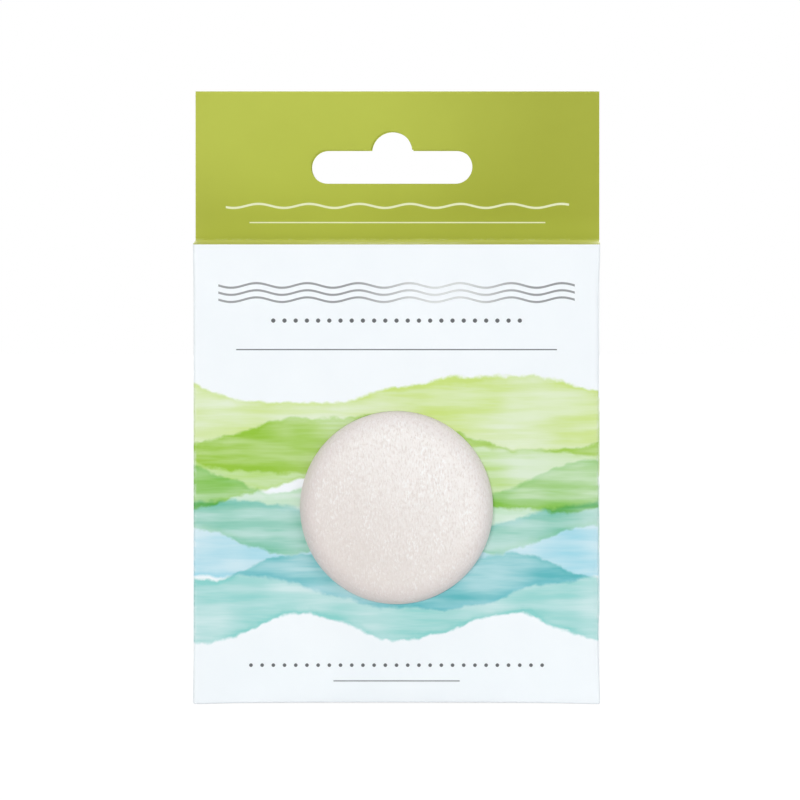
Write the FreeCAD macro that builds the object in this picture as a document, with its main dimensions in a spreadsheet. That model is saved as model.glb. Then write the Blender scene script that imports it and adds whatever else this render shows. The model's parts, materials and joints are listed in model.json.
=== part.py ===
"""Konjac face sponge in its hang-tab folding carton.

The carton is one sheet of board, creased and folded into a sleeve with a tuck-in lid, a tuck-in
bottom and a doubled header with a hang slot. The half-ball sponge stands on the bottom and swells
out through the round window. Each panel between two creases is a piece of its own.

Frame: millimetres, +Z up, the window faces -Y, the origin is the middle of the carton's underside.
"""

import FreeCAD
import Part
import math
import os
import re
import Sketcher

# Driving dimensions, in millimetres unless the name says degrees or share
SIZES = {
    # The sponge: a half ball, flat at the back, pressed flat round the window and swelling out of it
    "sponge_diameter": 75.8,
    "sponge_depth": 33.6,
    "sponge_back_round": 6.0,
    "bearing_ring_width": 3.3,
    "neck_gap": 0.25,
    "neck_stand": 0.1,
    "bulge_shoulder": 3.0,
    "bulge_crown": 0.9,
    # Room round the sponge, which sets the carton's own size
    "seat_gap": 0.3,
    "side_room": 1.65,
    "back_room": 5.2,
    "head_room": 13.95,
    # The board and its creases
    "board": 0.45,
    "fold_radius": 0.4,
    "crease_gap": 0.05,
    "flap_gap": 0.1,
    "panel_side_gap": 0.2,
    "front_edge_drop": 0.15,
    # The window in the front panel
    "window_diameter": 38.0,
    # The header and its hang slot
    "header_height": 29.5,
    "slot_width": 32.0,
    "slot_height": 6.7,
    "slot_rise": 11.0,
    "slot_shift": 1.1,
    "peg_hole_diameter": 8.2,
    "peg_hole_drop": 0.4,
    # Glue films in the header and the side seam
    "glue_film": 0.08,
    "glue_margin": 1.5,
    "seam_edge_gap": 0.3,
    "glue_flap_width": 12.0,
    "glue_flap_end_gap": 5.0,
    "glue_flap_taper": 3.0,
    # Tuck flaps on the lid and the bottom
    "tuck_length": 12.0,
    "tuck_corner": 7.0,
    "tuck_gap": 0.4,
    "tuck_side_gap": 1.2,
    "lid_tuck_slant_degrees": 13.0,
    "bottom_tuck_slant_degrees": 10.0,
    # Dust flaps at both ends of the side panels
    "dust_length": 18.0,
    "dust_hinge_gap": 2.2,
    "dust_tuck_gap": 2.0,
    "dust_tuck_taper": 6.0,
    "lid_dust_turn_share": 0.95,
    "bottom_dust_turn_share": 0.8,
    # How far a cutting shape runs past the face it cuts
    "overrun": 1.0,
}

# Sizes and places that follow from the driving dimensions
DERIVED = {
    "sponge_radius": "sponge_diameter / 2",
    "window_radius": "window_diameter / 2",
    "carton_width": "sponge_diameter + 2 * (board + side_room)",
    "carton_depth": "2 * board + seat_gap + sponge_depth + back_room",
    "carton_height": "board + seat_gap + sponge_diameter + head_room",
    "half_width": "carton_width / 2",
    "half_depth": "carton_depth / 2",
    "header_top": "carton_height + header_height",
    "window_height": "board + seat_gap + sponge_radius",
    "fold_outer": "fold_radius + board",
    "flap_start": "sqrt(fold_outer ^ 2 - fold_radius ^ 2) + crease_gap",
    "front_inner": "-half_depth + board",
    "back_inner": "half_depth - board",
    "front_top": "carton_height - front_edge_drop",
    "corner_x": "half_width - fold_outer",
    "corner_y": "half_depth - fold_outer",
    "seam_x": "half_width - board - glue_film",
    "seam_corner_x": "seam_x - fold_outer",
    "cover_half_width": "half_width - panel_side_gap",
    "header_face": "half_depth - 2 * board - glue_film",
    "header_fold_inner": "glue_film / 2",
    "header_fold_outer": "board + glue_film / 2",
    "header_fold_y": "half_depth - header_fold_outer",
    "header_fold_z": "header_top - header_fold_outer",
    "slot_low": "carton_height + slot_rise",
    "slot_high": "slot_low + slot_height",
    "lid_axis_y": "header_face - fold_radius",
    "lid_axis_z": "carton_height + fold_radius",
    "lid_tuck_axis_y": "front_inner + tuck_gap + fold_outer",
    "lid_tuck_axis_z": "carton_height - fold_outer",
    "lid_dust_axis_z": "carton_height - board - flap_gap - fold_outer",
    "bottom_axis_y": "-half_depth + fold_outer",
    "bottom_axis_z": "fold_outer",
    "bottom_tuck_axis_y": "back_inner - tuck_gap - fold_outer",
    "bottom_tuck_axis_z": "fold_outer",
    "bottom_dust_axis_z": "board + flap_gap + fold_outer",
    "tuck_half_width": "half_width - board - tuck_side_gap",
    "lid_dust_rear": "lid_axis_y - dust_hinge_gap",
    "lid_dust_front": "lid_tuck_axis_y + dust_tuck_gap",
    "bottom_dust_front": "bottom_axis_y + dust_hinge_gap",
    "bottom_dust_rear": "bottom_tuck_axis_y - dust_tuck_gap",
    "glue_flap_rear": "corner_y",
    "glue_flap_front": "corner_y - glue_flap_width",
    "glue_flap_low": "glue_flap_end_gap",
    "glue_flap_high": "carton_height - glue_flap_end_gap",
    "bearing_radius": "window_radius + bearing_ring_width",
    "neck_radius": "window_radius - neck_gap",
    "sponge_back": "back_inner - back_room",
    "sponge_front": "front_inner + seat_gap",
    "sponge_rim": "sponge_back - sponge_back_round",
    "dome_run": "sponge_depth - sponge_back_round",
    "dome_drop": "sponge_radius - bearing_radius",
    "dome_radius": "(dome_run ^ 2 + dome_drop ^ 2) / (2 * dome_drop)",
    "bulge_root": "-half_depth - neck_stand",
    "crown_edge": "bulge_root - bulge_shoulder",
    "crown_edge_radius": "neck_radius - bulge_shoulder",
    "crown_radius": "(crown_edge_radius ^ 2 + bulge_crown ^ 2) / (2 * bulge_crown)",
    "crown_top": "crown_edge - bulge_crown",
}

LEFT = -1
RIGHT = 1
COUNTER_CLOCKWISE = 1
CLOCKWISE = -1

doc = FreeCAD.newDocument("boxed_konjac_sponge")
sheet = doc.addObject("Spreadsheet::Sheet", "Sizes")
for row, (alias, size) in enumerate(SIZES.items(), start=1):
    sheet.set(f"A{row}", alias)
    sheet.set(f"B{row}", str(size))
    sheet.setAlias(f"B{row}", alias)
doc.recompute()
bodies = []


def bound(formula):
    """Write a formula of size names as an expression on the sheet's cells."""

    def reference(match):
        name = match.group()
        if name in DERIVED:
            return f"({bound(DERIVED[name])})"
        return f"Sizes.{name}" if name in SIZES else name

    return re.sub(r"[a-z_]+", reference, formula)


def measure(formula):
    """Work a formula of size names out to a number."""
    return float(sheet.evalExpression(bound(formula)))


def new_body(label):
    """Start one piece of the object."""
    body = doc.addObject("PartDesign::Body", label)
    body.Label = label
    bodies.append(body)
    return body


def new_sketch(body, name, plane, level):
    """Add a sketch to a body, on its XY, XZ or YZ plane moved to a level along the third axis."""
    sketch = body.newObject("Sketcher::SketchObject", f"{body.Name}_{name}")
    role = f"{plane}_Plane"
    origin_plane = next(f for f in body.Origin.OriginFeatures if f.Role == role)
    sketch.AttachmentSupport = [(origin_plane, "")]
    sketch.MapMode = "FlatFace"
    # The XZ plane faces -Y, so its levels count the other way
    offset = f"-({level})" if plane == "XZ" else level
    sketch.setExpression("AttachmentOffset.Base.z", bound(offset))
    return sketch


def arc_between(start, end, radius, turn):
    """The smaller arc from start to end with this radius, turning the given way."""
    chord = end - start
    reach = math.sqrt(max(radius**2 - (chord.Length / 2) ** 2, 0))
    side = FreeCAD.Vector(-chord.y, chord.x, 0).normalize()
    centre = (start + end) * 0.5 + side * reach * turn
    circle = Part.Circle(centre, FreeCAD.Vector(0, 0, 1), radius)
    first, last = (start, end) if turn == COUNTER_CLOCKWISE else (end, start)
    return Part.ArcOfCircle(circle, circle.parameter(first), circle.parameter(last))


def place(sketch, element, position, across, up):
    """Tie a point of a sketch to two formulas, measured from the sketch's origin."""
    for kind, formula, axis in (("DistanceX", across, -2), ("DistanceY", up, -1)):
        if formula == "0":
            sketch.addConstraint(Sketcher.Constraint("PointOnObject", element, position, axis))
            continue
        constraint = Sketcher.Constraint(kind, -1, 1, element, position, measure(formula))
        index = sketch.addConstraint(constraint)
        sketch.setExpression(f"Constraints[{index}]", bound(formula))


def draw_loop(sketch, corners):
    """Draw a closed outline: each corner is (across, up), or (across, up, radius, turn) at an arc's end."""
    points = [FreeCAD.Vector(measure(c[0]), measure(c[1]), 0) for c in corners]
    ends = []
    for number, corner in enumerate(corners):
        start = points[number - 1]
        end = points[number]
        if len(corner) == 2:
            element = sketch.addGeometry(Part.LineSegment(start, end))
            ends.append((element, 1, 2))
            continue
        radius, turn = corner[2:]
        element = sketch.addGeometry(arc_between(start, end, measure(radius), turn))
        index = sketch.addConstraint(Sketcher.Constraint("Radius", element, measure(radius)))
        sketch.setExpression(f"Constraints[{index}]", bound(radius))
        ends.append((element, 1, 2) if turn == COUNTER_CLOCKWISE else (element, 2, 1))
    for number, corner in enumerate(corners):
        element, _, last = ends[number]
        after, first, _ = ends[(number + 1) % len(ends)]
        sketch.addConstraint(Sketcher.Constraint("Coincident", element, last, after, first))
        place(sketch, element, last, corner[0], corner[1])


def draw_circle(sketch, across, up, radius):
    """Draw a full circle."""
    centre = FreeCAD.Vector(measure(across), measure(up), 0)
    circle = Part.Circle(centre, FreeCAD.Vector(0, 0, 1), measure(radius))
    element = sketch.addGeometry(circle)
    index = sketch.addConstraint(Sketcher.Constraint("Radius", element, measure(radius)))
    sketch.setExpression(f"Constraints[{index}]", bound(radius))
    place(sketch, element, 3, across, up)


def pad(body, name, plane, corners, low, high):
    """Thicken an outline from a low to a high level along the axis across its plane."""
    sketch = new_sketch(body, f"{name}_outline", plane, high if plane == "XZ" else low)
    draw_loop(sketch, corners)
    feature = body.newObject("PartDesign::Pad", f"{body.Name}_{name}")
    feature.Profile = sketch
    feature.setExpression("Length", bound(f"({high}) - ({low})"))
    doc.recompute()


def pierce(body, name, sketch, length):
    """Cut a sketch through a panel, away from the sketch's own facing direction."""
    before = body.Shape.Volume
    feature = body.newObject("PartDesign::Pocket", f"{body.Name}_{name}")
    feature.Profile = sketch
    feature.setExpression("Length", bound(length))
    doc.recompute()
    if body.Shape.Volume >= before:
        raise RuntimeError(f"{name} cut nothing from {body.Label}")


def rectangle(low_across, low_up, high_across, high_up):
    """Four corners, counter-clockwise."""
    return [
        (low_across, low_up),
        (high_across, low_up),
        (high_across, high_up),
        (low_across, high_up),
    ]


def quarter_fold(across, up, side, rise, inner="fold_radius", outer="fold_outer"):
    """A bent strip of board: a quarter ring about (across, up), on the given side and rise."""
    turn = side * rise
    return [
        (f"{across} + ({side}) * {outer}", up),
        (across, f"{up} + ({rise}) * {outer}", outer, turn),
        (across, f"{up} + ({rise}) * {inner}"),
        (f"{across} + ({side}) * {inner}", up, inner, -turn),
    ]


def slot_outline(grow):
    """The hang slot's long round-ended opening, grown all round by a margin."""
    radius = f"(slot_height / 2 + {grow})"
    middle = "(slot_low + slot_height / 2)"
    left = "(-slot_shift - slot_width / 2 + slot_height / 2)"
    right = "(-slot_shift + slot_width / 2 - slot_height / 2)"
    return [
        (right, f"{middle} - {radius}"),
        (f"{right} + {radius}", middle, radius, COUNTER_CLOCKWISE),
        (right, f"{middle} + {radius}", radius, COUNTER_CLOCKWISE),
        (left, f"{middle} + {radius}"),
        (f"{left} - {radius}", middle, radius, COUNTER_CLOCKWISE),
        (left, f"{middle} - {radius}", radius, COUNTER_CLOCKWISE),
    ]


def cut_hang_slot(body, low, high, grow="0"):
    """Cut the slot and the peg's round hole above its middle through one layer of the header."""
    start = f"{low} - overrun"
    length = f"({high}) - ({low}) + 2 * overrun"
    slot = new_sketch(body, "slot", "XZ", start)
    draw_loop(slot, slot_outline(grow))
    pierce(body, "slot_cut", slot, length)
    peg = new_sketch(body, "peg_hole", "XZ", start)
    draw_circle(peg, "-slot_shift", "slot_high - peg_hole_drop", f"peg_hole_diameter / 2 + {grow}")
    pierce(body, "peg_hole_cut", peg, length)


def make_front_panel():
    """The windowed front, with the folds to both side panels and to the bottom."""
    body = new_body("front_panel")
    face = rectangle("-corner_x", "-half_depth", "corner_x", "front_inner")
    pad(body, "face", "XY", face, "bottom_axis_z", "front_top")
    for side, word in ((LEFT, "left"), (RIGHT, "right")):
        corner = quarter_fold(f"({side}) * corner_x", "-corner_y", side, -1)
        pad(body, f"{word}_fold", "XY", corner, "bottom_axis_z", "front_top")
    bottom = quarter_fold("bottom_axis_y", "bottom_axis_z", -1, -1)
    pad(body, "bottom_fold", "YZ", bottom, "-corner_x", "corner_x")
    window = new_sketch(body, "window", "XZ", "-half_depth - overrun")
    draw_circle(window, "0", "window_height", "window_radius")
    pierce(body, "window_cut", window, "board + 2 * overrun")


def make_back_panel():
    """The back, with the folds to the left side panel and to the glue flap."""
    body = new_body("back_panel")
    face = rectangle("-corner_x", "back_inner", "seam_corner_x", "half_depth")
    pad(body, "face", "XY", face, "0", "carton_height")
    left = quarter_fold("-corner_x", "corner_y", LEFT, 1)
    pad(body, "left_fold", "XY", left, "bottom_dust_axis_z", "lid_dust_axis_z")
    seam = quarter_fold("seam_corner_x", "corner_y", RIGHT, 1)
    pad(body, "seam_fold", "XY", seam, "glue_flap_low", "glue_flap_high")


def make_side_panel(label, side):
    """A side panel with the folds to its two dust flaps; the right one ends in the seam's cut edge."""
    body = new_body(label)
    rear = "corner_y" if side == LEFT else "half_depth - seam_edge_gap"
    inner = f"({side}) * (half_width - board)"
    outer = f"({side}) * half_width"
    low, high = (outer, inner) if side == LEFT else (inner, outer)
    wall = rectangle("-corner_y", "bottom_dust_axis_z", rear, "lid_dust_axis_z")
    pad(body, "wall", "YZ", wall, low, high)
    axis_x = f"({side}) * corner_x"
    top = quarter_fold(axis_x, "lid_dust_axis_z", side, 1)
    pad(body, "top_fold", "XZ", top, "lid_dust_front", "lid_dust_rear")
    bottom = quarter_fold(axis_x, "bottom_dust_axis_z", side, -1)
    pad(body, "bottom_fold", "XZ", bottom, "bottom_dust_front", "bottom_dust_rear")


def make_seam():
    """The tapered flap that closes the sleeve inside the right side panel, and its film of glue."""
    flap = new_body("glue_flap")
    outline = [
        ("glue_flap_front", "glue_flap_low + glue_flap_taper"),
        ("glue_flap_rear", "glue_flap_low"),
        ("glue_flap_rear", "glue_flap_high"),
        ("glue_flap_front", "glue_flap_high - glue_flap_taper"),
    ]
    pad(flap, "flap", "YZ", outline, "seam_x - board", "seam_x")
    glue = new_body("seam_glue")
    film = rectangle(
        "glue_flap_front + glue_margin",
        "glue_flap_low + glue_flap_taper",
        "glue_flap_rear - glue_margin",
        "glue_flap_high - glue_flap_taper",
    )
    pad(glue, "film", "YZ", film, "seam_x", "half_width - board")


def make_header():
    """The doubled header: a back layer, a front layer folded down over it, and the glue between."""
    back = new_body("header_back_layer")
    sheet_outline = rectangle("-half_width", "carton_height", "half_width", "header_fold_z")
    pad(back, "layer", "XZ", sheet_outline, "back_inner", "half_depth")
    cut_hang_slot(back, "back_inner", "half_depth")

    front = new_body("header_front_layer")
    front_rear = "header_face + board"
    sheet_outline = rectangle("-half_width", "lid_axis_z", "half_width", "header_fold_z")
    pad(front, "layer", "XZ", sheet_outline, "header_face", front_rear)
    for side, word in ((LEFT, "front"), (RIGHT, "rear")):
        radii = ("header_fold_inner", "header_fold_outer")
        half = quarter_fold("header_fold_y", "header_fold_z", side, 1, *radii)
        pad(front, f"top_fold_{word}", "YZ", half, "-half_width", "half_width")
    lid_fold = quarter_fold("lid_axis_y", "lid_axis_z", 1, -1)
    pad(front, "lid_fold", "YZ", lid_fold, "-cover_half_width", "cover_half_width")
    cut_hang_slot(front, "header_face", front_rear)

    glue = new_body("header_glue")
    film = rectangle(
        "-half_width + glue_margin",
        "carton_height + glue_margin",
        "half_width - glue_margin",
        "header_fold_z - glue_margin",
    )
    pad(glue, "film", "XZ", film, front_rear, "back_inner")
    cut_hang_slot(glue, front_rear, "back_inner", "glue_margin")


def make_cover(label, hinge_y, tuck_y, low, tuck_axis_z, rise):
    """A lid or bottom panel: a flat panel with the fold to its tuck flap."""
    body = new_body(label)
    front, rear = (tuck_y, hinge_y) if rise > 0 else (hinge_y, tuck_y)
    panel = rectangle("-cover_half_width", front, "cover_half_width", rear)
    pad(body, "panel", "XY", panel, low, f"{low} + board")
    fold = quarter_fold(tuck_y, tuck_axis_z, -rise, rise)
    pad(body, "tuck_fold", "YZ", fold, "-tuck_half_width", "tuck_half_width")


def make_tuck_flap(label, axis_y, axis_z, slant, rise):
    """A tuck flap with round corners, drawn straight below or above its crease and then leant inwards."""
    body = new_body(label)
    root = f"({rise}) * flap_start"
    tip = f"({rise}) * tuck_length"
    shoulder = f"({rise}) * (tuck_length - tuck_corner)"
    turn = rise
    outline = [
        ("-tuck_half_width", root),
        ("tuck_half_width", root),
        ("tuck_half_width", shoulder),
        ("tuck_half_width - tuck_corner", tip, "tuck_corner", turn),
        ("-tuck_half_width + tuck_corner", tip),
        ("-tuck_half_width", shoulder, "tuck_corner", turn),
    ]
    near = f"({rise}) * fold_radius"
    far = f"({rise}) * fold_outer"
    low, high = (near, far) if rise > 0 else (far, near)
    pad(body, "flap", "XZ", outline, low, high)
    body.setExpression("Placement.Base.y", bound(axis_y))
    body.setExpression("Placement.Base.z", bound(axis_z))
    body.Placement.Rotation.Axis = FreeCAD.Vector(1, 0, 0)
    body.setExpression("Placement.Rotation.Angle", bound(slant))


def make_dust_flap(label, side, hinge_y, tuck_y, inwards, turn_share, low):
    """A dust flap: its edge by the cover's hinge is cut back so that it can turn up under the cover."""
    body = new_body(label)
    root = f"({side}) * (corner_x - flap_start)"
    tip = f"({side}) * (corner_x - dust_length)"
    outline = [
        (root, hinge_y),
        (tip, f"{hinge_y} + ({inwards}) * {turn_share} * dust_length"),
        (tip, f"{tuck_y} - ({inwards}) * dust_tuck_taper"),
        (root, tuck_y),
    ]
    pad(body, "flap", "XY", outline, low, f"{low} + board")


def make_covers():
    """The lid and the bottom, each with its tuck flap and its two dust flaps."""
    lid_hinge = "lid_axis_y - crease_gap"
    lid_low = "carton_height - board"
    make_cover("lid_panel", lid_hinge, "lid_tuck_axis_y", lid_low, "lid_tuck_axis_z", 1)
    make_tuck_flap(
        "lid_tuck_flap", "lid_tuck_axis_y", "lid_tuck_axis_z", "lid_tuck_slant_degrees", -1
    )
    bottom_hinge = "bottom_axis_y + flap_start"
    make_cover("bottom_panel", bottom_hinge, "bottom_tuck_axis_y", "0", "bottom_tuck_axis_z", -1)
    make_tuck_flap(
        "bottom_tuck_flap",
        "bottom_tuck_axis_y",
        "bottom_tuck_axis_z",
        "bottom_tuck_slant_degrees",
        1,
    )
    lid_dust_low = "lid_dust_axis_z + fold_radius"
    bottom_dust_low = "bottom_dust_axis_z - fold_outer"
    for side, word in ((LEFT, "left"), (RIGHT, "right")):
        make_dust_flap(
            f"top_dust_flap_{word}",
            side,
            "lid_dust_rear",
            "lid_dust_front",
            -1,
            "lid_dust_turn_share",
            lid_dust_low,
        )
        make_dust_flap(
            f"bottom_dust_flap_{word}",
            side,
            "bottom_dust_front",
            "bottom_dust_rear",
            1,
            "bottom_dust_turn_share",
            bottom_dust_low,
        )


def make_sponge():
    """The sponge, turned about the window's axis: flat back, dome, bearing ring, neck and bulge."""
    body = new_body("sponge")
    profile = [
        ("sponge_back", "0"),
        ("crown_top", "0"),
        ("crown_edge", "crown_edge_radius", "crown_radius", CLOCKWISE),
        ("bulge_root", "neck_radius", "bulge_shoulder", CLOCKWISE),
        ("sponge_front", "neck_radius"),
        ("sponge_front", "bearing_radius"),
        ("sponge_rim", "sponge_radius", "dome_radius", CLOCKWISE),
        ("sponge_back", "sponge_radius - sponge_back_round", "sponge_back_round", CLOCKWISE),
    ]
    sketch = new_sketch(body, "profile", "YZ", "0")
    draw_loop(sketch, profile)
    turned = body.newObject("PartDesign::Revolution", "sponge_turned")
    turned.Profile = sketch
    turned.ReferenceAxis = (sketch, ["H_Axis"])
    turned.Angle = 360
    body.setExpression("Placement.Base.z", bound("window_height"))


def check_and_write():
    """Stop on any failed object or bad shape, then write one STEP file for each piece."""
    doc.recompute()
    failed = [o.Label for o in doc.Objects if {"Invalid", "Error"} & set(o.State)]
    if failed:
        raise RuntimeError(f"failed objects: {failed}")
    for body in bodies:
        if body.Shape.isNull() or not body.Shape.isValid() or len(body.Shape.Solids) != 1:
            raise RuntimeError(f"{body.Label} is not one valid solid")
    os.makedirs("parts", exist_ok=True)
    for body in bodies:
        body.Shape.exportStep(os.path.join("parts", f"{body.Label}.step"))
        box = body.Shape.BoundBox
        print(f"{body.Label}: {box.XLength:.2f} x {box.YLength:.2f} x {box.ZLength:.2f} mm")


make_front_panel()
make_back_panel()
make_side_panel("left_side_panel", LEFT)
make_side_panel("right_side_panel", RIGHT)
make_seam()
make_header()
make_covers()
make_sponge()
check_and_write()
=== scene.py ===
# %% [markdown]
# # A konjac sponge in its hang-tab carton
# A soft half-ball sponge stands in a folding carton and swells out through a round window. The CAD
# frame already holds every solid in its place, in metres. This notebook gives each one its looks:
# board that is cut, creased and folded as the real sheet is, its print, and a fibrous foam.

# %% Load the frame
import json
import math

import bmesh
import bpy
from mathutils import Color, Matrix, Vector, noise


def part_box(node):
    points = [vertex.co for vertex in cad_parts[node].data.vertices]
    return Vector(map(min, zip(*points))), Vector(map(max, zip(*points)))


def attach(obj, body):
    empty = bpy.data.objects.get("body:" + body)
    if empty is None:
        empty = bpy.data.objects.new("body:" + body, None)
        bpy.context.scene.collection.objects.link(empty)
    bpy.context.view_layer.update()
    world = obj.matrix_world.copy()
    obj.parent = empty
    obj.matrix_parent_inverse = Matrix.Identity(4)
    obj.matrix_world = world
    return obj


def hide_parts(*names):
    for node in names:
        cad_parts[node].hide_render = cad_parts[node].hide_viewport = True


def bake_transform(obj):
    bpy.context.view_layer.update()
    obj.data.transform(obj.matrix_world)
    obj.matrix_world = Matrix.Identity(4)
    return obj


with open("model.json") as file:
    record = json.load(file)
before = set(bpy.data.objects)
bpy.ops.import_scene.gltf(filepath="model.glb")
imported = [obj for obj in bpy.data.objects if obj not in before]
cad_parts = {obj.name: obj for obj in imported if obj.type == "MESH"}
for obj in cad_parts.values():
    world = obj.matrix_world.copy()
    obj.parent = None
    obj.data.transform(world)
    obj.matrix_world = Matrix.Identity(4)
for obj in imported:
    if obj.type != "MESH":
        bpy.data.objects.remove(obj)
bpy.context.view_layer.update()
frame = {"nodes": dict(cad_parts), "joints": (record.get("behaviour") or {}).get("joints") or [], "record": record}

# %% [markdown]
# ## The camera
# A pack shot is taken from far away with a long lens, so the header at the back is hardly smaller
# than the front. Only a sliver of the lid shows, which tells how little the camera looks down. The
# camera could be orthographic, but a long lens keeps that slight narrowing towards the back.

# %% Camera
MM = 0.001
VIEW_DISTANCE = 4250 * MM
VIEW_WIDTH = 157.1 * MM
VIEW_DOWN_DEGREES = 1.42
VIEW_RIGHT_DEGREES = 0.25
VIEW_TARGET = Vector((0.68, -20, 59.8)) * MM

scene = bpy.context.scene
scene.view_settings.view_transform = "Standard"
lens = bpy.data.cameras.new("pack_shot")
lens.angle = 2 * math.atan(VIEW_WIDTH / 2 / VIEW_DISTANCE)
camera = bpy.data.objects.new("pack_shot", lens)
scene.collection.objects.link(camera)
to_camera = Matrix.Rotation(math.radians(-VIEW_DOWN_DEGREES), 3, "X") @ Vector((0, -1, 0))
to_camera = Matrix.Rotation(math.radians(VIEW_RIGHT_DEGREES), 3, "Z") @ to_camera
camera.location = VIEW_TARGET + to_camera * VIEW_DISTANCE
camera.rotation_euler = to_camera.to_track_quat("Z", "Y").to_euler()
scene.camera = camera
print("lens", round(lens.lens), "mm")

# %% [markdown]
# ## Sizes from the frame
# Every place in this scene follows the CAD: the boxes of its panels and the points of its hinges.
# The board's thickness is the glue flap's, and the outer radius of a crease is the height of the
# bottom hinge over the table.

# %% Sizes of the carton
front_low, front_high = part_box("front_panel")
back_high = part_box("back_panel")[1]
seam_low, seam_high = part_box("glue_flap")
hinges = {}
for joint in frame["joints"]:
    if joint["type"] == "hinge":
        hinges[joint["name"]] = Vector(joint["pos_m"])
lid_hinge = hinges["lid_hinge"]
lid_tuck_fold = hinges["lid_tuck_fold"]
bottom_hinge = hinges["bottom_hinge"]
bottom_tuck_fold = hinges["bottom_tuck_fold"]

BOARD = seam_high.x - seam_low.x
CREASE = bottom_hinge.z
HALF_WIDTH = front_high.x
FLAT_HALF = HALF_WIDTH - CREASE
FRONT = front_low.y
FRONT_TOP = front_high.z
BACK = back_high.y
FLAT_BACK = BACK - CREASE
CARTON_TOP = back_high.z
for word, length in (("board", BOARD), ("crease", CREASE), ("half width", HALF_WIDTH)):
    print(word, round(length / MM, 2), "mm")

# %% [markdown]
# ## Light and floor
# A studio tent lights a pack shot evenly. One soft box stands in front, to the left, and models the
# sponge. A larger one on the right keeps the folded corners from going dark, one hangs over the lid,
# and one stands behind for the back. The background is pure white: the world and the floor show white
# to the camera and in reflections, while they light the object at a plain level. The floor is mixed
# from that white and a matt pale grey that takes the shadow.

# %% Node helpers
def add_node(tree, kind, inputs=None, **settings):
    """Add a node with its settings; each input gets a value or another node's socket."""
    node = tree.nodes.new(kind)
    for name, value in settings.items():
        setattr(node, name, value)
    for name, value in (inputs or {}).items():
        if isinstance(value, bpy.types.NodeSocket):
            tree.links.new(value, node.inputs[name])
        else:
            node.inputs[name].default_value = value
    return node


def calc(tree, operation, *values):
    """One step of arithmetic on values or sockets."""
    return add_node(tree, "ShaderNodeMath", dict(enumerate(values)), operation=operation).outputs[0]


def seen_directly(tree):
    """One where the camera, a reflection or a view through glass meets the surface, else zero."""
    rays = add_node(tree, "ShaderNodeLightPath").outputs
    shine = calc(tree, "MAXIMUM", rays["Is Glossy Ray"], rays["Is Transmission Ray"])
    return calc(tree, "MAXIMUM", rays["Is Camera Ray"], shine)


def end_in(tree, kind, white_share, lit, white):
    """Mix a lit shader with a share of a white one, and end in an output node."""
    halves = {0: white_share, 1: lit.outputs[0], 2: white.outputs[0]}
    mixed = add_node(tree, "ShaderNodeMixShader", halves)
    add_node(tree, kind, {"Surface": mixed.outputs[0]})


# %% World
TENT_COLOR = (0.97, 0.985, 1.0, 1)
TENT_STRENGTH = 0.45
WHITE = (1, 1, 1, 1)
WHITE_STRENGTH = 1.0

world = bpy.data.worlds.new("tent")
scene.world = world
world.use_nodes = True
tree = world.node_tree
tree.nodes.clear()
tent = add_node(tree, "ShaderNodeBackground", {"Color": TENT_COLOR, "Strength": TENT_STRENGTH})
backdrop = add_node(tree, "ShaderNodeBackground", {"Color": WHITE, "Strength": WHITE_STRENGTH})
end_in(tree, "ShaderNodeOutputWorld", seen_directly(tree), tent, backdrop)
print("world", len(tree.nodes), "nodes")

# %% Lamps
# Each soft box: name, place and size in metres, power in watts, colour
LAMPS = (
    ("key_box", (-0.64, -1.33, 0.16), 0.45, 8.3, (1.0, 0.99, 0.97)),
    ("fill_box", (1.0, -0.75, 0.25), 0.9, 4.8, (0.97, 0.985, 1.0)),
    ("top_box", (0, -0.06, 1.1), 0.4, 2.8, (1.0, 1.0, 1.0)),
    ("back_box", (0.3, 1.3, 0.5), 0.8, 7.0, (1.0, 1.0, 1.0)),
)

carton_middle = Vector((0, 0, CARTON_TOP / 2))
for name, lamp_place, size, power, lamp_color in LAMPS:
    lamp = bpy.data.lights.new(name, "AREA")
    lamp.size = size
    lamp.energy = power
    lamp.color = lamp_color
    box = bpy.data.objects.new(name, lamp)
    scene.collection.objects.link(box)
    box.location = lamp_place
    box.rotation_euler = (Vector(lamp_place) - carton_middle).to_track_quat("Z", "Y").to_euler()

# %% Floor
FLOOR_HALF = 3.0
FLOOR_CELLS = 8
FLOOR_GAP = 0.05 * MM
FLOOR_MATT = (0.85, 0.85, 0.85, 1)
FLOOR_GLOW = 1.1
FLOOR_WHITE_SHARE = 0.86
FADE_START = 0.3
FADE_END = 1.2


def to_object(sheet, name):
    """Put a finished bmesh in the scene as an object."""
    mesh = bpy.data.meshes.new(name)
    sheet.to_mesh(mesh)
    sheet.free()
    piece = bpy.data.objects.new(name, mesh)
    scene.collection.objects.link(piece)
    return piece


sheet = bmesh.new()
bmesh.ops.create_grid(sheet, x_segments=FLOOR_CELLS, y_segments=FLOOR_CELLS, size=FLOOR_HALF)
bmesh.ops.translate(sheet, vec=(0, 0, -FLOOR_GAP), verts=sheet.verts)
floor = to_object(sheet, "floor")
floor_white = bpy.data.materials.new("floor_white")
floor_white.use_nodes = True
tree = floor_white.node_tree
tree.nodes.clear()
spot = add_node(tree, "ShaderNodeTexCoord").outputs["Object"]
away = add_node(tree, "ShaderNodeVectorMath", {0: spot}, operation="LENGTH").outputs["Value"]
fade = {"Value": away, "From Min": FADE_START, "From Max": FADE_END, "To Min": FLOOR_WHITE_SHARE}
fade_share = add_node(tree, "ShaderNodeMapRange", fade).outputs[0]
matt = add_node(tree, "ShaderNodeBsdfDiffuse", {"Color": FLOOR_MATT})
plain = add_node(tree, "ShaderNodeEmission", {"Color": WHITE, "Strength": FLOOR_GLOW})
white_share = calc(tree, "MULTIPLY", seen_directly(tree), fade_share)
end_in(tree, "ShaderNodeOutputMaterial", white_share, matt, plain)
floor.data.materials.append(floor_white)
print("floor", floor.name)

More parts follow.
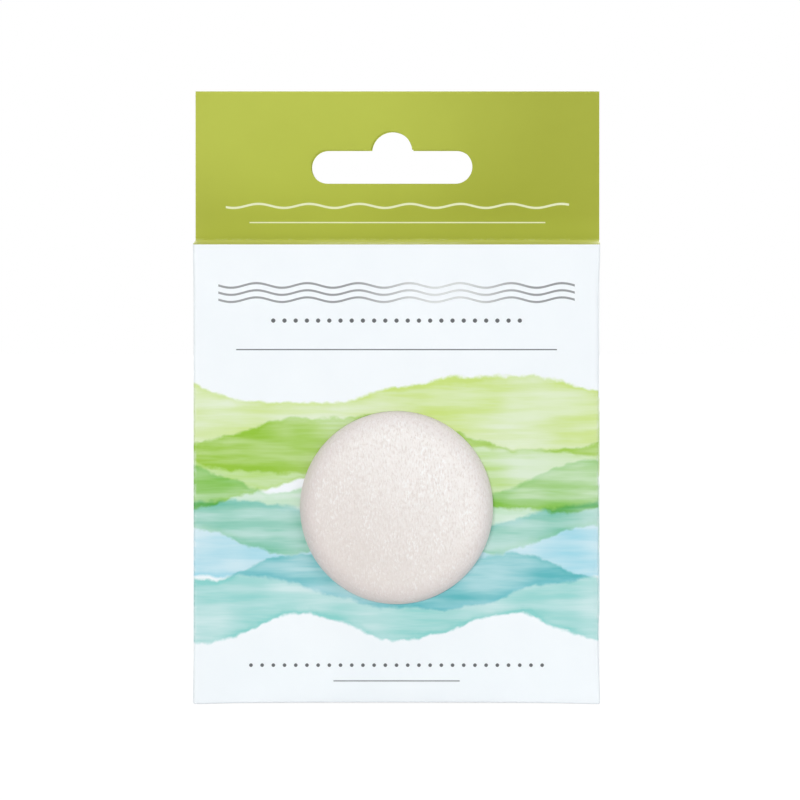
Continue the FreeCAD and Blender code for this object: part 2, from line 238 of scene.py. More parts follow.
# %% [markdown]
# ## The tooth of the board
# Coated carton board is smooth but not glass: fibres give it a fine tooth, and the sheet has a broad
# faint mottle. All finishes of the board share this, so it is one node group. It reads the place in
# millimetres, which keeps its scale true on every piece.

# %% Helpers for colours, values and noise
FULL_LEVEL = 255


def ink(*levels):
    """A print colour, its levels from 0 to 255, in Blender's linear values."""
    linear = Color([level / FULL_LEVEL for level in levels]).from_srgb_to_scene_linear()
    return (*linear, 1)


def mix_color(tree, share, first, second, blend="MIX"):
    """The first colour with a share of the second one in it."""
    inputs = {0: share, 6: first, 7: second}
    return add_node(tree, "ShaderNodeMix", inputs, data_type="RGBA", blend_type=blend).outputs[2]


def ramp(tree, value, start, end):
    """A smooth change from zero to one while the value goes from start to end."""
    inputs = {"Value": value, "From Min": start, "From Max": end}
    return add_node(tree, "ShaderNodeMapRange", inputs, interpolation_type="SMOOTHSTEP").outputs[0]


def add_up(tree, *layers, base=0.0):
    """The sum of layers on a base; a layer is a value and the share that it is taken by."""
    total = base
    for value, share in layers:
        total = calc(tree, "MULTIPLY_ADD", value, share, total)
    return total


def far_off(tree, *ways):
    """The distance that the steps along two or more ways make together."""
    return calc(tree, "SQRT", add_up(tree, *zip(ways, ways)))


def grain(tree, place, scale, detail=2.0, stretch=(1, 1, 1)):
    """Cloudy noise of so many spots to the millimetre, drawn out along the axes."""
    spread = add_node(tree, "ShaderNodeVectorMath", {0: place, 1: stretch}, operation="MULTIPLY")
    spots = {"Vector": spread.outputs[0], "Scale": scale, "Detail": detail}
    return add_node(tree, "ShaderNodeTexNoise", spots).outputs[0]


# %% Helpers for node groups
def new_group(name, inputs, outputs):
    """A node group; inputs and outputs are names, with vectors marked by a star."""
    group = bpy.data.node_groups.new(name, "ShaderNodeTree")
    for direction, labels in (("INPUT", inputs), ("OUTPUT", outputs)):
        for label in labels:
            kind = "NodeSocketVector" if label.endswith("*") else "NodeSocketFloat"
            group.interface.new_socket(label.rstrip("*"), in_out=direction, socket_type=kind)
    given = group.nodes.new("NodeGroupInput").outputs
    made = group.nodes.new("NodeGroupOutput").inputs
    return group, given, made


def use_group(tree, group, inputs):
    """Place a group in a material and give it its values."""
    return add_node(tree, "ShaderNodeGroup", inputs, node_tree=group).outputs


# %% Board tooth group
board_tooth, given, made = new_group("board_tooth", ["Place*"], ["Tone", "Height"])
mottle = grain(board_tooth, given["Place"], scale=0.09)
fibres = grain(board_tooth, given["Place"], scale=3.0, detail=4.0)
board_tooth.links.new(mottle, made["Tone"])
board_tooth.links.new(fibres, made["Height"])
print("board tooth", len(board_tooth.nodes), "nodes")

# %% [markdown]
# ## Wear on the folds
# Where coated board is creased, the coat cracks a little and the raw board shows as a faint broken
# line. The group takes how deep a point lies in the fold, measured two ways, and breaks the line up
# with noise. A bevel or curvature node could find edges too, but the export can't carry those.

# %% Fold wear group
WEAR_DEPTH = 0.5
WEAR_PATCHES = (0.42, 0.66)

fold_wear, given, made = new_group("fold_wear", ["Place*", "Depth", "Other depth"], ["Mask"])
first = ramp(fold_wear, given["Depth"], 0.0, WEAR_DEPTH)
second = ramp(fold_wear, given["Other depth"], 0.0, WEAR_DEPTH)
both = calc(fold_wear, "MULTIPLY", first, second)
patches = ramp(fold_wear, grain(fold_wear, given["Place"], scale=0.8, detail=3.0), *WEAR_PATCHES)
fold_wear.links.new(calc(fold_wear, "MULTIPLY", both, patches), made["Mask"])
print("fold wear", len(fold_wear.nodes), "nodes")

# %% [markdown]
# ## Raw board, cut edges and glue
# The inside of the carton is the board's uncoated side, a little warmer and rougher than the print.
# The cut edges show its white middle layer. Dried glue is a thin clear-ish film between the layers.
# Each finish starts from the same helper, which reads the place on the object in millimetres.

# %% Helpers for finishes
TOOTH_DEPTH = 0.03 * MM
FOLD_WEAR_SHARE = 0.35


def new_finish(name, roughness, specular=0.5):
    """A material with the place on the object in millimetres, and that place taken apart."""
    material = bpy.data.materials.new(name)
    material.use_nodes = True
    tree = material.node_tree
    shader = tree.nodes["Principled BSDF"]
    shader.inputs["Roughness"].default_value = roughness
    shader.inputs["Specular IOR Level"].default_value = specular
    spot = add_node(tree, "ShaderNodeTexCoord").outputs["Object"]
    to_mm = {0: spot, "Scale": 1 / MM}
    place = add_node(tree, "ShaderNodeVectorMath", to_mm, operation="SCALE").outputs[0]
    parts = add_node(tree, "ShaderNodeSeparateXYZ", {0: place}).outputs
    return material, tree, shader, place, parts


def paint(tree, shader, color):
    """Give a finish its colour."""
    tree.links.new(color, shader.inputs["Base Color"])


def press(tree, shader, height, strength, depth):
    """Press a height into a finish."""
    inputs = {"Height": height, "Strength": strength, "Distance": depth}
    bump = add_node(tree, "ShaderNodeBump", inputs)
    tree.links.new(bump.outputs[0], shader.inputs["Normal"])


def add_tooth(tree, shader, place, strength):
    """Press the board's tooth into a finish, and give back its broad tone."""
    tooth = use_group(tree, board_tooth, {"Place": place})
    press(tree, shader, tooth["Height"], strength, TOOTH_DEPTH)
    return tooth["Tone"]


def wear_fold(tree, place, depth, other_depth, color, bare):
    """A colour that is worn to a bare one in a fold."""
    inputs = {"Place": place, "Depth": depth, "Other depth": other_depth}
    worn = use_group(tree, fold_wear, inputs)["Mask"]
    return mix_color(tree, calc(tree, "MULTIPLY", worn, FOLD_WEAR_SHARE), color, bare)


# %% Raw board, cut edge and glue
RAW_DARK = ink(229, 225, 216)
RAW_LIGHT = ink(240, 238, 232)
RAW_FLECKS = (0.35, 0.7)
RAW_SHARE = 0.5
EDGE_DARK = ink(236, 233, 226)
EDGE_LIGHT = ink(250, 249, 246)
GLUE_DARK = ink(226, 218, 196)
GLUE_LIGHT = ink(244, 240, 226)

raw_board, tree, shader, place, _ = new_finish("raw_board", roughness=0.85, specular=0.25)
tone = add_tooth(tree, shader, place, strength=0.5)
flecks = ramp(tree, grain(tree, place, scale=1.2, detail=3.0), *RAW_FLECKS)
shade = add_up(tree, (tone, RAW_SHARE), (flecks, RAW_SHARE))
paint(tree, shader, mix_color(tree, shade, RAW_DARK, RAW_LIGHT))

cut_edge, tree, shader, place, _ = new_finish("cut_edge", roughness=0.9, specular=0.2)
add_tooth(tree, shader, place, strength=0.8)
layers = grain(tree, place, scale=4.0)
paint(tree, shader, mix_color(tree, layers, EDGE_DARK, EDGE_LIGHT))

dried_glue, tree, shader, place, _ = new_finish("dried_glue", roughness=0.4)
blobs = grain(tree, place, scale=0.4, detail=3.0)
paint(tree, shader, mix_color(tree, blobs, GLUE_DARK, GLUE_LIGHT))
print("finishes", raw_board.name, cut_edge.name, dried_glue.name)

# %% [markdown]
# ## The washes of the print
# The front carries soft watery colours from lime to turquoise. Here they are wide ribbons that roll
# round the carton like low hills. Each ribbon is a band about a sine wave: noise frays its edges,
# pigment gathers at the rim as in a wash of water colour, and long streaks follow the brush. The wave
# length divides the width of the carton, so that the ribbons meet behind it.

# %% Wash group
FULL_TURN = 2 * math.pi
NOISE_MIDDLE = 0.5
FRAY = 5.0
FINE_FRAY = 1.6
WASH_BODY = (1.0, 0.88)
WASH_RIM = (0.7, 0.98)
STREAK_STRETCH = (0.12, 0.12, 1.1)
STREAK_BAND = (0.3, 0.72)
CLOUD_BAND = (0.3, 0.7)
FLAT_SHARE = 0.36
STREAK_SHARE = 0.32
CLOUD_SHARE = 0.32
RIM_SHARE = 0.22

wash_inputs = ["Place*", "Along", "Up", "Middle", "Half", "Swing", "Length", "Shift"]
wash, given, made = new_group("wash", wash_inputs, ["Mask"])
place = given["Place"]
angle = calc(wash, "DIVIDE", calc(wash, "ADD", given["Along"], given["Shift"]), given["Length"])
wave = calc(wash, "SINE", calc(wash, "MULTIPLY", angle, FULL_TURN))
fray = calc(wash, "SUBTRACT", grain(wash, place, scale=0.07, detail=3.0), NOISE_MIDDLE)
fine = calc(wash, "SUBTRACT", grain(wash, place, scale=0.5, detail=3.0), NOISE_MIDDLE)
middle = add_up(wash, (wave, given["Swing"]), (fray, FRAY), (fine, FINE_FRAY), base=given["Middle"])
reach = calc(wash, "ABSOLUTE", calc(wash, "SUBTRACT", given["Up"], middle))
reach = calc(wash, "DIVIDE", reach, given["Half"])
body = ramp(wash, reach, *WASH_BODY)
rim = ramp(wash, reach, *WASH_RIM)
streaks = grain(wash, place, scale=0.5, detail=3.0, stretch=STREAK_STRETCH)
streaks = ramp(wash, streaks, *STREAK_BAND)
clouds = ramp(wash, grain(wash, place, scale=0.055), *CLOUD_BAND)
wet_layers = ((streaks, STREAK_SHARE), (clouds, CLOUD_SHARE), (rim, RIM_SHARE))
wet = add_up(wash, *wet_layers, base=FLAT_SHARE)
wash.links.new(calc(wash, "MULTIPLY", body, wet), made["Mask"])
print("wash", len(wash.nodes), "nodes")

# %% [markdown]
# ## Fine ornament
# Thin rules, three rippled foil lines and rows of dots set off the top and the foot of the front.
# They could be raised geometry, but printed foil has no height worth modelling, so they are masks in
# the print's material: one group for a rule that may ripple, and one for a row of dots.

# %% Rule and dot groups
SOFT_EDGE = 0.05


def within(tree, value, limit):
    """One where a value is under its limit, with a soft edge."""
    return ramp(tree, calc(tree, "SUBTRACT", value, limit), SOFT_EDGE, -SOFT_EDGE)


def finish_marks(group, given, made, off, half):
    """End a group of marks: near the middle of the line, and within its reach to both sides."""
    past = calc(group, "ABSOLUTE", given["Along"])
    inside = calc(group, "MULTIPLY", within(group, off, half), within(group, past, given["Reach"]))
    group.links.new(inside, made["Mask"])
    print(group.name, len(group.nodes), "nodes")


rule_inputs = ["Along", "Up", "Middle", "Reach", "Half", "Swing", "Length"]
rule, given, made = new_group("rule", rule_inputs, ["Mask"])
turns = calc(rule, "MULTIPLY", calc(rule, "DIVIDE", given["Along"], given["Length"]), FULL_TURN)
line = calc(rule, "MULTIPLY_ADD", calc(rule, "SINE", turns), given["Swing"], given["Middle"])
off = calc(rule, "ABSOLUTE", calc(rule, "SUBTRACT", given["Up"], line))
finish_marks(rule, given, made, off, given["Half"])

dot_inputs = ["Along", "Up", "Middle", "Reach", "Pitch", "Radius"]
dots, given, made = new_group("dots", dot_inputs, ["Mask"])
step = calc(dots, "PINGPONG", given["Along"], calc(dots, "DIVIDE", given["Pitch"], 2))
rise = calc(dots, "SUBTRACT", given["Up"], given["Middle"])
finish_marks(dots, given, made, far_off(dots, step, rise), given["Radius"])

# %% [markdown]
# ## The printed board
# The coated side is a cool white. The washes are multiplied over it one after the other, as inks are,
# and run on round the sides. The dark marks and the foil lie on the front alone, and the foil is
# metallic, so it gleams; its colour also carries a painted gleam, lighter near the middle. Each could
# be a material of its own on cut faces, but print needs no edges in the mesh, so one material mixes
# them all by masks.

# %% Printed board
PAPER_LIGHT = ink(246, 250, 253)
PAPER_DARK = ink(240, 245, 249)
PRINT_ROUGHNESS = 0.45
PRINT_TOOTH = 0.25
CARTON_SPAN = 2 * HALF_WIDTH / MM
# Ribbons from the top down: colour, middle, half height, swing, waves to the carton's width, shift
RIBBONS = (
    (ink(210, 230, 126), 55.0, 7.5, 2.5, 1, 0.0),
    (ink(182, 219, 100), 47.5, 6.5, 3.5, 1, 30.0),
    (ink(184, 225, 178), 38.5, 6.5, 3.0, 2, 12.0),
    (ink(158, 218, 231), 29.5, 8.0, 3.5, 1, 55.0),
    (ink(144, 214, 206), 21.0, 6.5, 2.5, 2, 28.0),
)

printed_board, tree, shader, place, parts = new_finish("printed_board", PRINT_ROUGHNESS, specular=0.3)
tone = add_tooth(tree, shader, place, PRINT_TOOTH)
across, depth, up = parts
behind = calc(tree, "SUBTRACT", depth, FRONT / MM)
along = calc(tree, "MULTIPLY_ADD", calc(tree, "SIGN", across), behind, across)
color = mix_color(tree, tone, PAPER_DARK, PAPER_LIGHT)
for pigment, ribbon_middle, half, swing, waves, shift in RIBBONS:
    inputs = {"Place": place, "Along": along, "Up": up, "Middle": ribbon_middle, "Half": half}
    inputs.update({"Swing": swing, "Length": CARTON_SPAN / waves, "Shift": shift})
    mask = use_group(tree, wash, inputs)["Mask"]
    color = mix_color(tree, mask, color, pigment, "MULTIPLY")
print("ribbons", len(RIBBONS))

# %% Foil and dark ink on the front
FOIL_DARK = ink(140, 142, 144)
FOIL_LIGHT = ink(190, 192, 193)
# Painted gleam on the foil: where it is lightest, and how far it reaches
PAINTED_GLEAM_MIDDLE = 9.0
PAINTED_GLEAM_REACH = 20.0
DARK_INK = ink(96, 98, 100)
PRINT_DEPTH = 0.6
RIPPLE = 10.0
# A rule's middle height, reach to each side, half thickness, and the swing and length of its ripple
RULE_LABELS = ("Middle", "Reach", "Half", "Swing", "Length")
FOIL_RULES = (
    (82.3, 35.0, 0.22, 0.45, RIPPLE),
    (80.9, 35.0, 0.22, 0.45, RIPPLE),
    (79.5, 35.0, 0.22, 0.45, RIPPLE),
)
THIN_RULES = ((69.7, 31.5, 0.11, 0.0, RIPPLE), (4.6, 12.4, 0.1, 0.0, RIPPLE))
# A row of dots: its middle height, reach to each side, pitch and radius
DOT_LABELS = ("Middle", "Reach", "Pitch", "Radius")
DOT_ROWS = ((75.4, 25.3, 2.2, 0.42), (7.7, 29.7, 2.2, 0.36))


def stamp(tree, parts, group, labels, rows):
    """Print rows of marks with a group, and give back one mask for them all."""
    marks = 0.0
    for row in rows:
        inputs = {"Along": parts[0], "Up": parts[2], **dict(zip(labels, row))}
        marks = calc(tree, "MAXIMUM", marks, use_group(tree, group, inputs)["Mask"])
    return marks


on_front = ramp(tree, depth, FRONT / MM + PRINT_DEPTH, FRONT / MM + PRINT_DEPTH / 2)
dot_marks = stamp(tree, parts, dots, DOT_LABELS, DOT_ROWS)
dark_marks = calc(tree, "MAXIMUM", dot_marks, stamp(tree, parts, rule, RULE_LABELS, THIN_RULES))
color = mix_color(tree, calc(tree, "MULTIPLY", dark_marks, on_front), color, DARK_INK)
# Painted gleam: the foil's colour is lighter near the middle of the front.
from_painted_gleam = calc(tree, "ABSOLUTE", calc(tree, "SUBTRACT", across, PAINTED_GLEAM_MIDDLE))
foil = mix_color(tree, ramp(tree, from_painted_gleam, PAINTED_GLEAM_REACH, 0.0), FOIL_DARK, FOIL_LIGHT)
foil_lines = calc(tree, "MULTIPLY", stamp(tree, parts, rule, RULE_LABELS, FOIL_RULES), on_front)
color = mix_color(tree, foil_lines, color, foil)
print("rules", len(FOIL_RULES + THIN_RULES), "rows of dots", len(DOT_ROWS))

# %% Worn folds and gloss of the printed board
COAT_ROUGHNESS = 0.36
MOTTLE_ROUGHNESS = 0.12
FOIL_ROUGHNESS = 0.16

corner_in = calc(tree, "SUBTRACT", calc(tree, "ABSOLUTE", across), FLAT_HALF / MM)
corner_back = calc(tree, "SUBTRACT", calc(tree, "ABSOLUTE", depth), FLAT_BACK / MM)
paint(tree, shader, wear_fold(tree, place, corner_in, corner_back, color, PAPER_LIGHT))
tree.links.new(foil_lines, shader.inputs["Metallic"])
dull_layers = ((tone, MOTTLE_ROUGHNESS), (foil_lines, FOIL_ROUGHNESS))
tree.links.new(add_up(tree, *dull_layers, base=COAT_ROUGHNESS), shader.inputs["Roughness"])
print("printed board", len(tree.nodes), "nodes")

# %% [markdown]
# ## The green of the header
# The header, the lid and its tuck flap are printed in one flat olive green. On the header the green is
# painted lighter towards the upper left in a soft oval, a painted sheen, and lighter at the foot,
# painted light against the shade of the lid. The lid is painted paler, palest at the rear, as a
# painted sheen. A pale ripple and a pale rule stand under the slot.

# %% Greens of the header and the lid
GREEN_LIGHT = ink(188, 197, 84)
GREEN_DEEP = ink(170, 177, 69)
# Painted sheen on the header: the oval's middle, its reach and the band where it fades, in millimetres
SHEEN_MIDDLE = (-18.0, 114.0)
SHEEN_REACH = (44.0, 26.0)
SHEEN_BAND = (1.15, 0.3)
# Painted light at the header's foot: between which heights it grows, and its share
LIT_FOOT_HEIGHTS = (96.5, 91.5)
LIT_FOOT_SHARE = 0.4
MOTTLE_SHARE = 0.3
# Painted sheen on the lid: a paler green at the front and a paler one still at the rear, over these depths
LID_SHEEN_FRONT = ink(184, 188, 84)
LID_SHEEN_REAR = ink(208, 212, 112)
LID_SHEEN_DEPTHS = (-18.0, 14.0)
LID_EDGE = 0.3
LID_HINGE_EDGE = 0.1

green_board, tree, shader, place, parts = new_finish("green_board", PRINT_ROUGHNESS, specular=0.1)
tone = add_tooth(tree, shader, place, PRINT_TOOTH)
across, depth, up = parts
# Painted sheen: the green is lighter inside a soft oval towards the upper left.
oval_ways = []
for way, oval_middle, oval_reach in zip((across, up), SHEEN_MIDDLE, SHEEN_REACH):
    oval_ways.append(calc(tree, "DIVIDE", calc(tree, "SUBTRACT", way, oval_middle), oval_reach))
oval = ramp(tree, far_off(tree, *oval_ways), *SHEEN_BAND)
lid_back = lid_hinge.y / MM
lid_front = lid_tuck_fold.y / MM
on_lid = ramp(tree, depth, lid_back + LID_EDGE, lid_back - LID_HINGE_EDGE)
on_lid = calc(tree, "MULTIPLY", on_lid, ramp(tree, depth, lid_front - LID_EDGE, lid_front))
# Painted light: the header's green is lighter towards its foot, against the shade of the lid.
foot = ramp(tree, up, *LIT_FOOT_HEIGHTS)
mottle = calc(tree, "SUBTRACT", tone, NOISE_MIDDLE)
light = calc(tree, "MAXIMUM", oval, on_lid)
light = add_up(tree, (foot, LIT_FOOT_SHARE), (mottle, MOTTLE_SHARE), base=light)
color = mix_color(tree, light, GREEN_DEEP, GREEN_LIGHT)
# Painted sheen on the lid: a paler green, palest at the rear beside the header.
lid_sheen_green = mix_color(tree, ramp(tree, depth, *LID_SHEEN_DEPTHS), LID_SHEEN_FRONT, LID_SHEEN_REAR)
color = mix_color(tree, on_lid, color, lid_sheen_green)
print("green inks", len(tree.nodes), "nodes")

# %% Pale lines and worn crease of the green board
PALE_INK = ink(240, 243, 214)
PALE_RULES = ((97.3, 34.0, 0.22, 0.4, RIPPLE), (94.0, 29.3, 0.12, 0.0, RIPPLE))
HEADER_FOOT = (91.2, 91.6)

on_header = ramp(tree, up, *HEADER_FOOT)
on_face = ramp(tree, depth, (BACK - BOARD) / MM, (BACK - 2 * BOARD) / MM)
pale_lines = stamp(tree, parts, rule, RULE_LABELS, PALE_RULES)
pale_lines = calc(tree, "MULTIPLY", pale_lines, calc(tree, "MULTIPLY", on_header, on_face))
color = mix_color(tree, pale_lines, color, PALE_INK)
hinge_in = calc(tree, "SUBTRACT", depth, lid_hinge.y / MM)
hinge_down = calc(tree, "SUBTRACT", lid_hinge.z / MM, up)
paint(tree, shader, wear_fold(tree, place, hinge_in, hinge_down, color, PALE_INK))
dull = add_up(tree, (tone, MOTTLE_ROUGHNESS), base=COAT_ROUGHNESS)
tree.links.new(dull, shader.inputs["Roughness"])
print("green board", len(tree.nodes), "nodes")

# %% [markdown]
# ## How a sheet is cut and folded
# The real carton is one flat sheet that a steel rule cuts and creases. Each panel here is a sheet of
# faces in the plane of its printed side. An edge that turns a corner is spun round its crease, and at
# the end a Solidify modifier gives the sheet its thickness, with its own finish on the print, the
# inner side and the cut edge. Boxes with bevelled edges would be quicker, but would not look folded.

# %% Sheet helpers
PANEL_CELL = 2 * MM
FOLD_STEPS = 6
SAME = 0.01 * MM
STANDING = Matrix.Rotation(math.radians(90), 4, "X")
SIDEWAYS = Matrix.Rotation(math.radians(90), 4, "Z") @ STANDING
LYING = Matrix.Identity(4)
X_AXIS = Vector((1, 0, 0))
Y_AXIS = Vector((0, 1, 0))
Z_AXIS = Vector((0, 0, 1))


def lay_panel(sheet, low, high, turn):
    """Lay a grid of board between two corners, in the plane that the turn gives."""
    span = turn.to_3x3().inverted() @ (high - low)
    half = (abs(span.x) / 2, abs(span.y) / 2)
    place = Matrix.Translation((low + high) / 2) @ turn @ Matrix.Diagonal((*half, 1, 1))
    cells = [max(1, round(2 * reach / PANEL_CELL)) for reach in half]
    bmesh.ops.create_grid(sheet, x_segments=cells[0], y_segments=cells[1], size=1, matrix=place)


def edges_at(sheet, axis, level, low=-math.inf, high=math.inf):
    """The outer edges at one level of an axis, between two heights."""
    found = []
    for edge in sheet.edges:
        on_level = all(abs(v.co[axis] - level) < SAME for v in edge.verts)
        between = all(low - SAME < v.co.z < high + SAME for v in edge.verts)
        if edge.is_boundary and on_level and between:
            found.append(edge)
    return found


def fold_over(sheet, edges, hinge, axis, degrees, steps=FOLD_STEPS):
    """Carry edges of the sheet round a crease, and give back the last ones."""
    corners = list(dict.fromkeys(v for edge in edges for v in edge.verts))
    spun = bmesh.ops.spin(
        sheet, geom=corners + edges, cent=hinge, axis=axis, angle=math.radians(degrees), steps=steps
    )
    return spun["geom_last"]


# %% Finish a sheet as a piece of board
MERGE = 0.001 * MM
SHARP_DEGREES = 35


def as_board(sheet, name, print_finish, outward, inner_finish=raw_board):
    """Turn a sheet into board: print on the outward side, an inner finish, white cut edges."""
    bmesh.ops.remove_doubles(sheet, verts=sheet.verts, dist=MERGE)
    bmesh.ops.recalc_face_normals(sheet, faces=sheet.faces)
    widest = max(sheet.faces, key=lambda face: face.calc_area())
    if widest.normal.dot(outward) < 0:
        bmesh.ops.reverse_faces(sheet, faces=sheet.faces)
    piece = to_object(sheet, name)
    for finish in (print_finish, inner_finish, cut_edge):
        piece.data.materials.append(finish)
    wall = piece.modifiers.new("board", "SOLIDIFY")
    wall.thickness = BOARD
    wall.offset = -1
    wall.use_even_offset = True
    wall.material_offset = 1
    wall.material_offset_rim = 2
    depsgraph = bpy.context.evaluated_depsgraph_get()
    thick = bpy.data.meshes.new_from_object(piece.evaluated_get(depsgraph))
    piece.modifiers.clear()
    piece.data = thick
    thick.name = name
    thick.shade_smooth()
    thick.set_sharp_from_angle(angle=math.radians(SHARP_DEGREES))
    print(name, len(thick.polygons), "faces")
    return piece


def settle(piece, body, *nodes):
    """Put a piece on its body in the place of its CAD nodes."""
    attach(piece, body)
    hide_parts(*nodes)


# %% [markdown]
# ## Folds that are not quite square
# The foot of the carton has sprung up between its corners, so its lower edge is a shallow arch, and
# the long front corners are drawn in between their ends. The folds at the foot and at those corners
# are pressed sharper than round. Every piece that meets there is shaped by the same helpers, so that
# no gap opens between two of them.

# %% Helpers for the foot
FOOT_LIFT = 0.35 * MM
LIFT_REACH = 25 * MM
ARCH_POWER = 4
FOOT_CRISP = 5.0


def hold(value):
    """A value held between zero and one."""
    return min(1, max(0, value))


def lift_foot(sheet):
    """Arch the foot of the front upwards, fading out up the front and back along the bottom."""
    for v in sheet.verts:
        away = hold((v.co.z + v.co.y - FRONT) / LIFT_REACH)
        side_share = v.co.x / HALF_WIDTH
        lift = FOOT_LIFT * max(0, 1 - side_share**ARCH_POWER)
        v.co.z += lift * (1 - away) ** 2


def from_flat(point):
    """The nearest x on the flat of the front, and how far a point lies out from the creases."""
    flat_x = min(FLAT_HALF, max(-FLAT_HALF, point.x))
    return flat_x, Vector((point.x - flat_x, point.y - FRONT - CREASE))


def crisp_foot(sheet):
    """Draw the round crease at the foot out towards its corner, as in a well pressed fold."""
    power = 2 / FOOT_CRISP
    for v in sheet.verts:
        down = (CREASE - v.co.z) / CREASE
        if down > 0 and v.co.y < FRONT + CREASE + SAME:
            flat_x, out = from_flat(v.co)
            out = out.normalized() * (out.length / CREASE) ** power * CREASE
            v.co = (flat_x + out.x, FRONT + CREASE + out.y, CREASE * (1 - down**power))


# %% Helpers for the long front corners
CORNER_CRISP = 3.0
LEFT_PINCH = 0.12 * MM
RIGHT_PINCH = 0.34 * MM
PINCH_REACH = 9 * MM

top_fold_z = hinges["top_dust_left_fold"].z
foot_fold_z = hinges["bottom_dust_left_fold"].z
print("corners from", round(foot_fold_z / MM, 2), "to", round(top_fold_z / MM, 2), "mm")


def ease(value, start, end):
    """A smooth step from zero to one between start and end."""
    share = hold((value - start) / (end - start))
    return share * share * (3 - 2 * share)


def crisp_corners(sheet):
    """Draw the round folds of the long front corners out towards their edges in the same way."""
    for v in sheet.verts:
        flat_x, out = from_flat(v.co)
        if abs(out.x) > SAME and out.y < -SAME:
            powers = abs(out.x) ** CORNER_CRISP + abs(out.y) ** CORNER_CRISP
            out *= out.length / powers ** (1 / CORNER_CRISP)
            v.co.x = flat_x + out.x
            v.co.y = FRONT + CREASE + out.y


def pinch_edges(sheet):
    """Draw the long front corners in between their ends, fading out along the sides."""
    for v in sheet.verts:
        ends = ease(v.co.z, foot_fold_z, foot_fold_z + PINCH_REACH)
        ends *= ease(v.co.z, top_fold_z, top_fold_z - PINCH_REACH)
        ends *= ease(v.co.y, seam_low.y, FRONT) * ease(abs(v.co.x), 0, FLAT_HALF)
        v.co.x += ends * (LEFT_PINCH if v.co.x < 0 else -RIGHT_PINCH)


# %% [markdown]
# ## The front
# The front panel has a round window. It starts as a grid; the cells round the window are taken out,
# and a circle with as many points as the hole's edge is bridged to it. The side edges are spun round
# the corner creases, and the sponge pushes the panel out a little.

# %% Front sheet and its window
WINDOW_RADIUS = 19 * MM

sponge_low, sponge_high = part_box("sponge")
sponge_middle = (sponge_low + sponge_high) / 2
clear = WINDOW_RADIUS + PANEL_CELL


def near_window(point, reach):
    """Whether a point lies in a square about the window."""
    away = point - sponge_middle
    return max(abs(away.x), abs(away.z)) < reach


sheet = bmesh.new()
low = Vector((-FLAT_HALF, FRONT, CREASE))
high = Vector((FLAT_HALF, FRONT, FRONT_TOP))
lay_panel(sheet, low, high, STANDING)
gone = [face for face in sheet.faces if near_window(face.calc_center_median(), clear)]
bmesh.ops.delete(sheet, geom=gone, context="FACES")
hole = []
for edge in sheet.edges:
    if edge.is_boundary and all(near_window(v.co, clear + PANEL_CELL) for v in edge.verts):
        hole.append(edge)
window_place = Matrix.Translation((sponge_middle.x, FRONT, sponge_middle.z)) @ STANDING
rim = bmesh.ops.create_circle(sheet, segments=len(hole), radius=WINDOW_RADIUS, matrix=window_place)
rim_edges = list(dict.fromkeys(e for v in rim["verts"] for e in v.link_edges))
bmesh.ops.bridge_loops(sheet, edges=hole + rim_edges)
print("window", len(hole), "edges")

# %% Front folds
FRONT_BOW = 0.3 * MM
BOW_TOP_SHARE = 0.8

for side in (-1, 1):
    corner = Vector((side * FLAT_HALF, FRONT + CREASE, 0))
    fold_over(sheet, edges_at(sheet, 0, side * FLAT_HALF), corner, Z_AXIS, side * 90)
    foot_edges = []
    for edge in edges_at(sheet, 2, CREASE):
        if all(v.co.x * side > FLAT_HALF - SAME for v in edge.verts):
            foot_edges.append(edge)
    corner_foot = Vector((side * FLAT_HALF, FRONT + CREASE, CREASE))
    fold_over(sheet, foot_edges, corner_foot, X_AXIS, 90)
crisp_foot(sheet)
crisp_corners(sheet)
for v in sheet.verts:
    across_share = max(0, 1 - (v.co.x / FLAT_HALF) ** 2)
    up_share = math.sin(math.pi * BOW_TOP_SHARE * max(0, v.co.z - CREASE) / (FRONT_TOP - CREASE))
    v.co.y -= FRONT_BOW * across_share * up_share
lift_foot(sheet)
pinch_edges(sheet)
front_board = as_board(sheet, "front_board", printed_board, -Y_AXIS)
settle(front_board, "carton", "front_panel")

# %% [markdown]
# ## The sides and the back
# Plain panels that give a little, bowed inwards by a fraction of a millimetre. The back carries the
# crease to the left side, and at the right the crease to the glue flap, which the right side panel
# overlaps with a raw edge.

# %% Side panels
PANEL_BOW = 0.25 * MM
SIDES = ((-1, "left"), (1, "right"))


def bow_in(sheet, inward, low, high):
    """Press a panel's middle in, along the inward direction."""
    for v in sheet.verts:
        bow_share = 1
        for axis in range(3):
            if high[axis] - low[axis] > SAME:
                way = hold((v.co[axis] - low[axis]) / (high[axis] - low[axis]))
                bow_share *= math.sin(math.pi * way)
        v.co += inward * PANEL_BOW * bow_share


for side, word in SIDES:
    node = f"{word}_side_panel"
    side_low, side_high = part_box(node)
    low = Vector((side * HALF_WIDTH, side_low.y, foot_fold_z))
    high = Vector((side * HALF_WIDTH, side_high.y, top_fold_z))
    sheet = bmesh.new()
    lay_panel(sheet, low, high, SIDEWAYS)
    if side > 0:
        high.y = seam_low.y
    bow_in(sheet, -side * X_AXIS, low, high)
    pinch_edges(sheet)
    side_board = as_board(sheet, f"{word}_side_board", printed_board, side * X_AXIS)
    settle(side_board, "carton", node)

